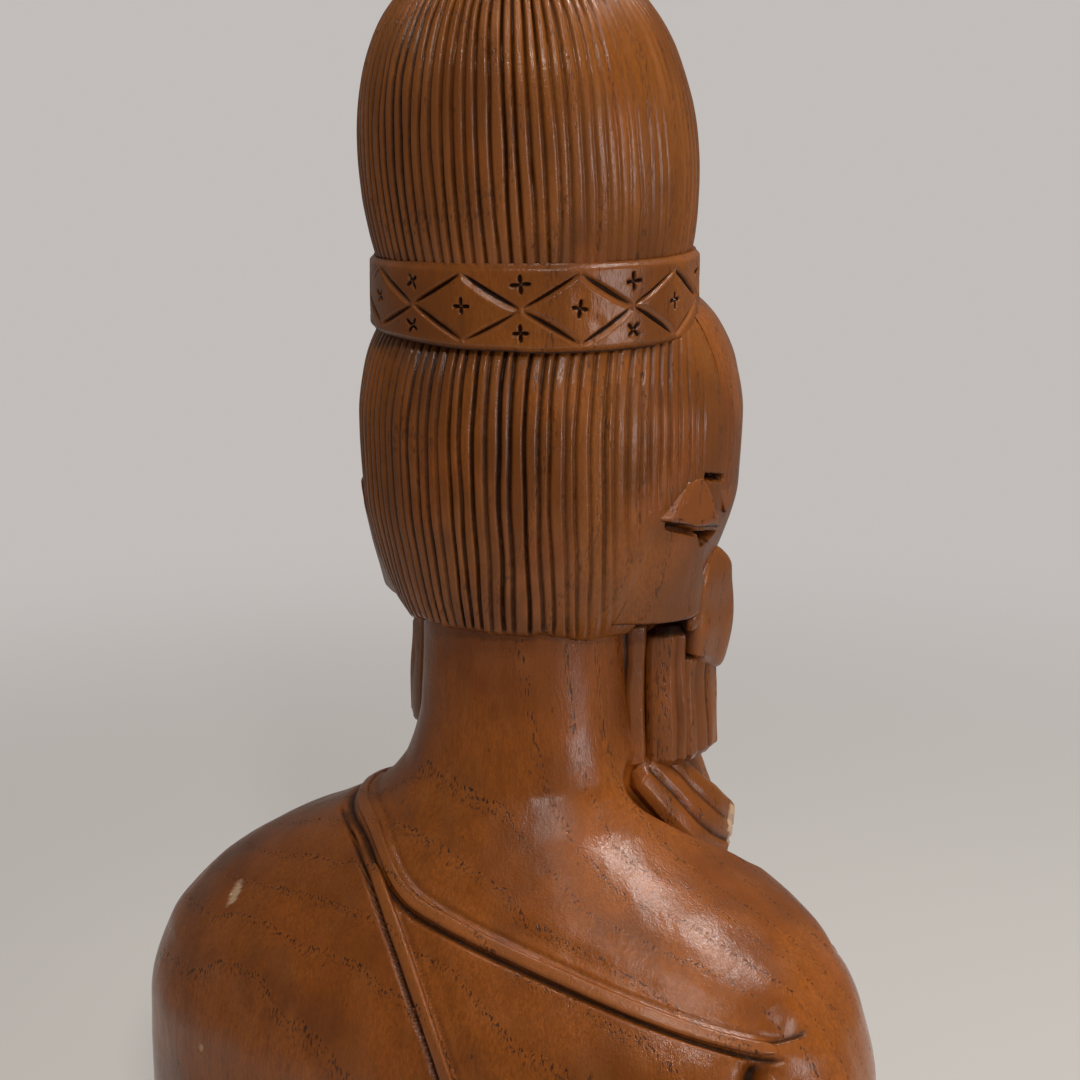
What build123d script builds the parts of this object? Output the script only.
from build123d import *
import math
import os

os.makedirs("parts", exist_ok=True)

# Carved bust of a bearded elder with a tall ribbed topknot, in millimetres.
# Origin: middle of the flat base, under the neck. +Z up, the face looks along -Y,
# the figure's right hand is on -X.

# ---------------------------------------------------------------- driving dimensions
NECK_ROOT = 98.4  # height where the neck leaves the shoulders
HEAD_FOOT = 127.0  # lower edge of the hair at the sides of the neck
BAND_FOOT = 176.0  # lower edge of the headband
BAND_TOP = 189.6
KNOT_TIP = 236.5  # top of the topknot, the highest point
HAIRLINE_Y = -9.0  # hair behind this plane, smooth face and forehead in front of it

BODY_POINTS = 24  # points on each outline of the body and head
KNOT_FLUTES = 86  # gouge grooves round the topknot
HAIR_FLUTES = 102  # gouge grooves round the whole head
FLUTE_DEPTH = 0.6

HEM_WIDTH = 2.4
HEM_HEIGHT = 0.9  # how far a hem stands out of the cloth

BAND_RADIUS = 26.9
BAND_CORE = 22.0  # radius of the topknot's root inside the band
BAND_CENTRE = -5.0
DIAMONDS = 9  # carved diamonds round the band
BAND_GROOVE = 0.9  # side of the square tool that leaves each V groove

# Body and neck sections, from the base up:
# (height, half width, front, back, centre line, fullness); 2 is an ellipse, more is squarer.
TORSO = [
    (0, 62, 23, 40, 10.5, 2.4),
    (20, 65.3, 25, 42, 11, 2.4),
    (40, 66.5, 26, 43, 11, 2.4),
    (58, 66, 26.5, 43, 11, 2.4),
    (70, 63, 26, 40.5, 9.5, 2.3),
    (78.6, 56.5, 25.5, 36, 7.5, 2.3),
    (86.2, 46, 24, 30.5, 5.5, 2.2),
    (93.0, 32.5, 21.5, 25, 3.5, 2.1),
    (NECK_ROOT, 25.0, 20, 21, 1, 2.0),
]
NECK = [
    (NECK_ROOT, 25.0, 20, 21, 1, 2.0),
    (104, 20.2, 19, 18, 0, 2.0),
    (114, 17.8, 18, 16.3, -1, 2.0),
    (HEAD_FOOT, 17, 18, 15.5, -1, 2.0),
]
HEAD = [
    (HEAD_FOOT, 20.5, 33, 17, -10, 2.0),
    (132, 25, 38.5, 19.2, -10, 2.0),
    (141, 29.2, 43.2, 21.2, -11, 2.0),
    (150, 31.4, 46, 22.5, -11.5, 2.0),
    (162, 32, 46.5, 23, -11.5, 2.0),
    (170, 30.8, 44.6, 21.8, -11.5, 2.0),
    (177, 28, 40.5, 19, -11.5, 2.0),
    (182, 23, 35, 12, -11.5, 2.0),
    (185.5, 14, 26, 4, -11.5, 2.0),
]
# Topknot sections: (height, radius, centre line), leaning back a little as it rises.
TOPKNOT = [
    (BAND_TOP, 25.9, -4.6),
    (196, 26.8, -3.9),
    (204, 27.0, -2.9),
    (213, 26.2, -1.8),
    (220, 24.4, -0.9),
    (226, 21.2, -0.2),
    (231, 16.6, 0.4),
    (234.5, 11.0, 0.8),
    (KNOT_TIP, 5.0, 1.0),
]

# The robe's edge runs in a slanting plane from the left shoulder to the right armpit.
SASH_HEIGHT = 87.0  # height of that plane over the origin
SASH_SLOPE = 13.8  # degrees, down towards the right arm
ARMPIT_X = -52.0
FOLD_START = (28.3, 12.0, 96.2)  # second fold, from the left shoulder down the back
FOLD_MIDDLE = (6.1, 33.3, 84.1)
FOLD_END = (-6.7, 41.4, 66.6)
BODY_MIDDLE = 12.0  # the fold is carved on the back of this plane only

# Upper beard: a curtain of boxy locks hung side by side under the jaw.
# (middle of the outer face x, y, degrees from the front towards the side, foot, width)
BEARD_LOCKS = [
    (6.0, -39.9, 13.6, 97.5, 11.9),
    (16.9, -35.2, 33.1, 99.0, 11.4),
    (24.4, -27.3, 61.0, 101.0, 10.4),
    (26.3, -17.3, 97.5, 102.0, 10.3),
    (23.0, -9.3, 132.8, 102.0, 7.1),
    (17.5, -4.4, 144.2, 102.0, 7.2),
]
BEARD_TOP = 127.0
LOCK_DEPTH = 8.0
LOCK_TAPER = 1.7  # how much narrower a lock gets on each side towards the neck
LOCK_ROUND = 1.0  # softened edges of a lock
LEFT_SPREAD = 1.13  # the curtain is carved wider on the figure's left than on its right

# Core behind the locks, which ties the beard to the chest down to its tip.
BEARD_CORE = [
    (63, 5, 36, -18, -26, 2.0),
    (72, 9, 44, -18, -31, 2.0),
    (84, 13, 43.5, -16, -31, 2.0),
    (97, 17, 37, -12, -25, 2.0),
    (BEARD_TOP, 19, 36, -12, -24, 2.0),
]

# Lower beard: strands from under the curtain down the core.
# (top x, top y, top z, end x, end y, end z, width)
BEARD_STRANDS = [
    (5.3, -34.5, 96.9, 4.2, -47.5, 67.0, 9.5),
    (14.5, -30.0, 98.9, 14.0, -44.5, 71.0, 8.5),
    (17.5, -9.5, 102.0, 28.0, -27.5, 83.0, 10.0),
]
STRAND_DEPTH = 9.0

# Face, on the classic thirds between hairline, brow, nose and chin.
BROW = (11.5, -43.9, 153.5)
EYELID = (11.0, -43.0, 148.5)
MOUTH = (0.0, -38.4, 131.0)
# Nose sections: (height, half width, depth to each side of its centre, centre y).
NOSE = [
    (137.5, 6.0, 7.0, -45.0),
    (140.0, 6.8, 8.0, -45.5),
    (147.0, 4.2, 5.5, -46.5),
    (153.0, 2.6, 3.0, -46.0),
]

# Ears and the smooth lobes under them, as blocks: (height, x, y, thickness, length).
EAR = [
    (145.0, 29.0, -3.0, 7.4, 15.0),
    (149.5, 29.2, -2.0, 7.0, 12.0),
    (155.0, 30.0, -0.5, 4.8, 5.5),
]
SIDEBURN = [
    (130.0, 24.6, -1.2, 8.2, 14.0),
    (138.0, 25.8, -1.2, 7.8, 14.0),
    (145.0, 27.0, -1.2, 7.0, 13.0),
]
# Moustache, from beside the nose out and down the cheek: (x, y, z, radius).
MOUSTACHE = [
    (1.2, -44.5, 135.0, 2.6),
    (9.5, -43.0, 134.8, 3.8),
    (18.5, -37.0, 133.5, 4.8),
    (24.0, -28.5, 131.0, 5.0),
    (25.8, -25.0, 124.0, 3.0),
]


# ---------------------------------------------------------------- shared shapes
def oval(level, grow=0.0, flutes=0, depth=0.0):
    """Sketch one body section; a fluted one has a gouge cut between every two ribs."""
    height, half_width, front, back, centre, fullness = level
    count = 2 * flutes if flutes else BODY_POINTS
    points = []
    for step in range(count):
        angle = 2 * math.pi * step / count
        across = abs(math.cos(angle)) ** (2 / fullness) * math.copysign(1, math.cos(angle))
        along = abs(math.sin(angle)) ** (2 / fullness)
        inset = depth if flutes and step % 2 else 0
        x = (half_width + grow - inset) * across
        if math.sin(angle) >= 0:
            y = centre + (back - centre + grow - inset) * along
        else:
            y = centre - (front + centre + grow - inset) * along
        points.append((x, y))
    with BuildSketch(Plane.XY.offset(height)) as outline:
        with BuildLine():
            if flutes:
                Polyline(*points, close=True)
            else:
                Spline(*points, periodic=True)
        make_face()
    return outline.sketch


def round_level(level):
    """Body section of a round stretch given as (height, radius, centre line)."""
    height, radius, centre = level
    return (height, radius, radius - centre, radius + centre, centre, 2.0)


def sash_plane(lift=0.0):
    """Plane of the robe's edge; its normal points up and away from the right arm."""
    base = Plane(origin=(0, 0, SASH_HEIGHT), x_dir=(1, 0, 0), z_dir=(0, 0, 1))
    return base.rotated((0, -SASH_SLOPE, 0)).offset(lift)


def save(piece, label):
    """Name a finished piece and write it to its own file."""
    piece.label = label
    export_step(piece, f"parts/{label}.step")


# ---------------------------------------------------------------- whole masses, cut up below
with BuildPart() as body_mass:
    loft([oval(level) for level in TORSO])

with BuildPart() as body_skin:
    loft([oval(level, grow=HEM_HEIGHT) for level in TORSO])

with BuildPart() as neck:
    loft([oval(level) for level in NECK])

# The head's crown rises in front of the band, which is let into it.
with BuildPart() as band_seat:
    with BuildSketch(Plane.XY.offset(BAND_FOOT)):
        with Locations((0, BAND_CENTRE)):
            Circle(BAND_RADIUS + 0.05)
    extrude(amount=BAND_TOP - BAND_FOOT)

with BuildPart() as head_mass:
    loft([oval(level) for level in HEAD])
    add(band_seat.part, mode=Mode.SUBTRACT)

with BuildPart() as hair_mass:
    loft([oval(level, flutes=HAIR_FLUTES, depth=FLUTE_DEPTH) for level in HEAD])
    add(band_seat.part, mode=Mode.SUBTRACT)

# ---------------------------------------------------------------- body
# Everything above the robe's edge is bare skin.
with BuildPart() as torso:
    add(body_mass.part)
    split(bisect_by=sash_plane(), keep=Keep.TOP)

ARM_CUT = Plane(origin=(ARMPIT_X, 0, 60), x_dir=(0, 1, 0), z_dir=(1, 0, 0.12))

with BuildPart() as robe:
    add(body_mass.part)
    split(bisect_by=sash_plane(), keep=Keep.BOTTOM)
    split(bisect_by=ARM_CUT, keep=Keep.TOP)

with BuildPart() as arm_right:
    add(body_mass.part)
    split(bisect_by=sash_plane(), keep=Keep.BOTTOM)
    split(bisect_by=ARM_CUT, keep=Keep.BOTTOM)

# The hem is the raised skin of the body between two planes beside the robe's edge.
with BuildPart() as hem_sash:
    add(body_skin.part)
    add(body_mass.part, mode=Mode.SUBTRACT)
    split(bisect_by=sash_plane(HEM_WIDTH / 2), keep=Keep.BOTTOM)
    split(bisect_by=sash_plane(-HEM_WIDTH / 2), keep=Keep.TOP)
    split(bisect_by=Plane(origin=(ARMPIT_X - 4, 0, 0), z_dir=(1, 0, 0)), keep=Keep.TOP)


def fold_plane(shift=0.0):
    """Plane through the three points of the fold, moved sideways by shift."""
    start, middle, end = Vector(FOLD_START), Vector(FOLD_MIDDLE), Vector(FOLD_END)
    normal = (middle - start).cross(end - start)
    return Plane(origin=start, x_dir=end - start, z_dir=normal).offset(shift)


with BuildPart() as hem_fold:
    add(body_skin.part)
    add(body_mass.part, mode=Mode.SUBTRACT)
    split(bisect_by=fold_plane(HEM_WIDTH / 2), keep=Keep.BOTTOM)
    split(bisect_by=fold_plane(-HEM_WIDTH / 2), keep=Keep.TOP)
    split(bisect_by=sash_plane(-HEM_WIDTH / 2), keep=Keep.BOTTOM)
    split(bisect_by=Plane(origin=(0, BODY_MIDDLE, 0), z_dir=(0, 1, 0)), keep=Keep.TOP)

save(torso.part, "torso")
save(robe.part, "robe")
save(arm_right.part, "arm_right")
save(hem_sash.part, "hem_sash")
save(hem_fold.part, "hem_fold")
save(neck.part, "neck")

# ---------------------------------------------------------------- head
HAIRLINE = Plane(origin=(0, HAIRLINE_Y, 0), z_dir=(0, 1, 0))

with BuildPart() as hair_cap:
    add(hair_mass.part)
    split(bisect_by=HAIRLINE, keep=Keep.TOP)

with BuildPart() as face:
    add(head_mass.part)
    split(bisect_by=HAIRLINE, keep=Keep.BOTTOM)

# The topknot grows out of a plain root that fills the band.
with BuildPart() as topknot:
    loft([
        oval(round_level(level), flutes=KNOT_FLUTES, depth=FLUTE_DEPTH * level[1] / BAND_RADIUS)
        for level in TOPKNOT
    ])
    with BuildSketch(Plane.XY.offset(BAND_FOOT)):
        with Locations((0, BAND_CENTRE)):
            Circle(BAND_CORE)
    extrude(amount=BAND_TOP - BAND_FOOT)

BAND_MIDDLE = (BAND_FOOT + BAND_TOP) / 2
DIAMOND_RISE = 5.3  # half height of a diamond
DIAMOND_RUN = math.pi * BAND_RADIUS / DIAMONDS  # half width of a diamond
SIDE_LENGTH = math.hypot(DIAMOND_RISE, DIAMOND_RUN) - 0.6
SIDE_TILT = math.degrees(math.atan2(DIAMOND_RISE, DIAMOND_RUN))
CROSS_LENGTH = 3.0
DIAMOND_START = 111.0  # direction of one corner between two diamonds
DIAMOND_STEP = 360 / DIAMONDS


def groove_tool(length):
    """Square rod lying along Y on one of its edges, which cuts a V groove."""
    with BuildPart() as tool:
        with BuildSketch(Plane.XZ):
            Rectangle(BAND_GROOVE, BAND_GROOVE, rotation=45)
        extrude(amount=length / 2, both=True)
    return tool.part


side_tool = groove_tool(SIDE_LENGTH)
cross_tool = groove_tool(CROSS_LENGTH)

with BuildPart() as headband:
    with BuildSketch(Plane.XY.offset(BAND_FOOT)):
        with Locations((0, BAND_CENTRE)):
            Circle(BAND_RADIUS)
            Circle(BAND_CORE, mode=Mode.SUBTRACT)
    extrude(amount=BAND_TOP - BAND_FOOT)
    # Four sides to each diamond: the quarter of the step tells where a side's middle lies.
    for quarter, rise, tilt in ((1, 1, 1), (3, 1, -1), (1, -1, -1), (3, -1, 1)):
        with Locations((0, BAND_CENTRE, BAND_MIDDLE + rise * DIAMOND_RISE / 2)):
            start = DIAMOND_START + quarter * DIAMOND_STEP / 4
            with PolarLocations(BAND_RADIUS, DIAMONDS, start_angle=start):
                add(side_tool, rotation=(tilt * SIDE_TILT, 0, 0), mode=Mode.SUBTRACT)
    # A small cross in every diamond, and in the triangles above and below every corner.
    for shift, lift in ((0.5, 0), (0, DIAMOND_RISE * 0.72), (0, -DIAMOND_RISE * 0.72)):
        with Locations((0, BAND_CENTRE, BAND_MIDDLE + lift)):
            with PolarLocations(BAND_RADIUS, DIAMONDS, start_angle=DIAMOND_START + shift * DIAMOND_STEP):
                add(cross_tool, rotation=(45, 0, 0), mode=Mode.SUBTRACT)
                add(cross_tool, rotation=(-45, 0, 0), mode=Mode.SUBTRACT)

save(hair_cap.part, "hair_cap")
save(face.part, "face")
save(topknot.part, "topknot")
save(headband.part, "headband")


def bar(length, depth, height, softness):
    """Soft-edged bar along X, for a brow, an eyelid or the lips."""
    with BuildPart() as block:
        Box(length, depth, height)
        fillet(block.edges(), softness)
    return block.part


def on_face(tool, place, turn=0.0):
    """Feature that stands out of the face at a place, with what lies inside the face cut off."""
    with BuildPart() as feature:
        with Locations(Location(place, (0, 0, turn))):
            add(tool)
        add(face.part, mode=Mode.SUBTRACT)
    return feature.part


with BuildPart() as nose:
    sections = []
    for height, half_width, depth, centre in NOSE:
        with BuildSketch(Plane.XY.offset(height)) as outline:
            with Locations((0, centre)):
                Ellipse(half_width, depth)
        sections.append(outline.sketch)
    loft(sections)
    add(face.part, mode=Mode.SUBTRACT)

brow_tool = bar(16.0, 4.8, 3.6, 1.4)
lid_tool = bar(12.0, 6.4, 5.4, 2.0)
lip_tool = bar(16.0, 5.2, 5.0, 1.8)
save(nose.part, "nose")
save(on_face(lip_tool, MOUTH), "mouth")


def block_loft(levels, side):
    """Loft of rounded blocks beside the head, on the side given by its sign."""
    sections = []
    for height, x, y, thickness, length in levels:
        with BuildSketch(Plane.XY.offset(height)) as outline:
            with Locations((side * x, y)):
                RectangleRounded(thickness, length, 1.5)
        sections.append(outline.sketch)
    with BuildPart() as block:
        loft(sections)
    return block.part


def moustache_loft(side):
    """Tapering roll along the moustache's line, with round sections square to it."""
    centres = [Vector(side * x, y, z) for x, y, z, radius in MOUSTACHE]
    sections = []
    for index, (x, y, z, radius) in enumerate(MOUSTACHE):
        ahead = centres[min(index + 1, len(centres) - 1)]
        behind = centres[max(index - 1, 0)]
        with BuildSketch(Plane(origin=centres[index], z_dir=ahead - behind)) as outline:
            Circle(radius)
        sections.append(outline.sketch)
    with BuildPart() as roll:
        loft(sections)
    return roll.part


def lock_block(side, x, y, degrees, foot, width):
    """One hanging lock of the upper beard, a little narrower towards the neck."""
    spread = LEFT_SPREAD if side > 0 else 1.0
    run = spread * math.cos(math.radians(degrees))
    rise = math.sin(math.radians(degrees))
    turn = math.degrees(math.atan2(rise, run))
    half = width * math.hypot(run, rise) / 2
    depth = LOCK_DEPTH + (spread - 1) * x
    corners = [
        (-half, 0),
        (half, 0),
        (half - LOCK_TAPER, depth),
        (LOCK_TAPER - half, depth),
    ]
    with BuildPart() as lock:
        with BuildSketch(Plane.XY.offset(foot)):
            with Locations(Location((side * x * spread, y, 0), (0, 0, side * turn))):
                Polygon(*corners, align=None)
        extrude(amount=BEARD_TOP - foot)
        fillet(lock.edges().filter_by(Axis.Z), LOCK_ROUND)
        chamfer(lock.faces().sort_by(Axis.Z)[0].edges(), LOCK_ROUND / 2)
    return lock.part


def strand_loft(side, strand):
    """One tapering strand of the lower beard, laid forward down the chest."""
    top_x, top_y, top_z, end_x, end_y, end_z, width = strand
    sections = []
    for share in (0.0, 0.5, 1.0):
        x = side * (top_x + (end_x - top_x) * share)
        y = top_y + (end_y - top_y) * share ** 1.4
        z = top_z + (end_z - top_z) * share
        narrow = 1 - 0.35 * share
        with BuildSketch(Plane.XY.offset(z)) as outline:
            with Locations((x, y)):
                RectangleRounded(width * narrow, STRAND_DEPTH * narrow, LOCK_ROUND)
        sections.append(outline.sketch)
    with BuildPart() as strand_part:
        loft(sections)
    return strand_part.part


with BuildPart() as beard_core:
    loft([oval(level) for level in BEARD_CORE])
    add(neck.part, mode=Mode.SUBTRACT)
    add(body_mass.part, mode=Mode.SUBTRACT)

save(beard_core.part, "beard_core")

for side, name in ((1, "left"), (-1, "right")):
    brow_x, brow_y, brow_z = BROW
    lid_x, lid_y, lid_z = EYELID
    save(on_face(brow_tool, (side * brow_x, brow_y, brow_z), side * 18), f"brow_{name}")
    save(on_face(lid_tool, (side * lid_x, lid_y, lid_z), side * 15), f"eyelid_{name}")

    with BuildPart() as ear:
        add(block_loft(EAR, side))
        add(head_mass.part, mode=Mode.SUBTRACT)
    save(ear.part, f"ear_{name}")

    with BuildPart() as sideburn:
        add(block_loft(SIDEBURN, side))
        add(head_mass.part, mode=Mode.SUBTRACT)
    save(sideburn.part, f"sideburn_{name}")

    locks = [lock_block(side, *lock) for lock in BEARD_LOCKS]

    with BuildPart() as moustache:
        add(moustache_loft(side))
        add(head_mass.part, mode=Mode.SUBTRACT)
        add(nose.part, mode=Mode.SUBTRACT)
        add(sideburn.part, mode=Mode.SUBTRACT)
        with BuildSketch(Plane.XY.offset(BEARD_TOP)):
            Rectangle(200, 200)
        extrude(amount=-20, mode=Mode.SUBTRACT)
    save(moustache.part, f"moustache_{name}")

    for number, lock in enumerate(locks, start=1):
        with BuildPart() as beard_lock:
            add(lock)
            add(neck.part, mode=Mode.SUBTRACT)
            add(beard_core.part, mode=Mode.SUBTRACT)
        save(beard_lock.part, f"beard_lock_{name}_{number}")

    for number, strand in enumerate(BEARD_STRANDS, start=1):
        with BuildPart() as beard_strand:
            add(strand_loft(side, strand))
            add(beard_core.part, mode=Mode.SUBTRACT)
            add(body_mass.part, mode=Mode.SUBTRACT)
            add(neck.part, mode=Mode.SUBTRACT)
        save(beard_strand.part, f"beard_strand_{name}_{number}")
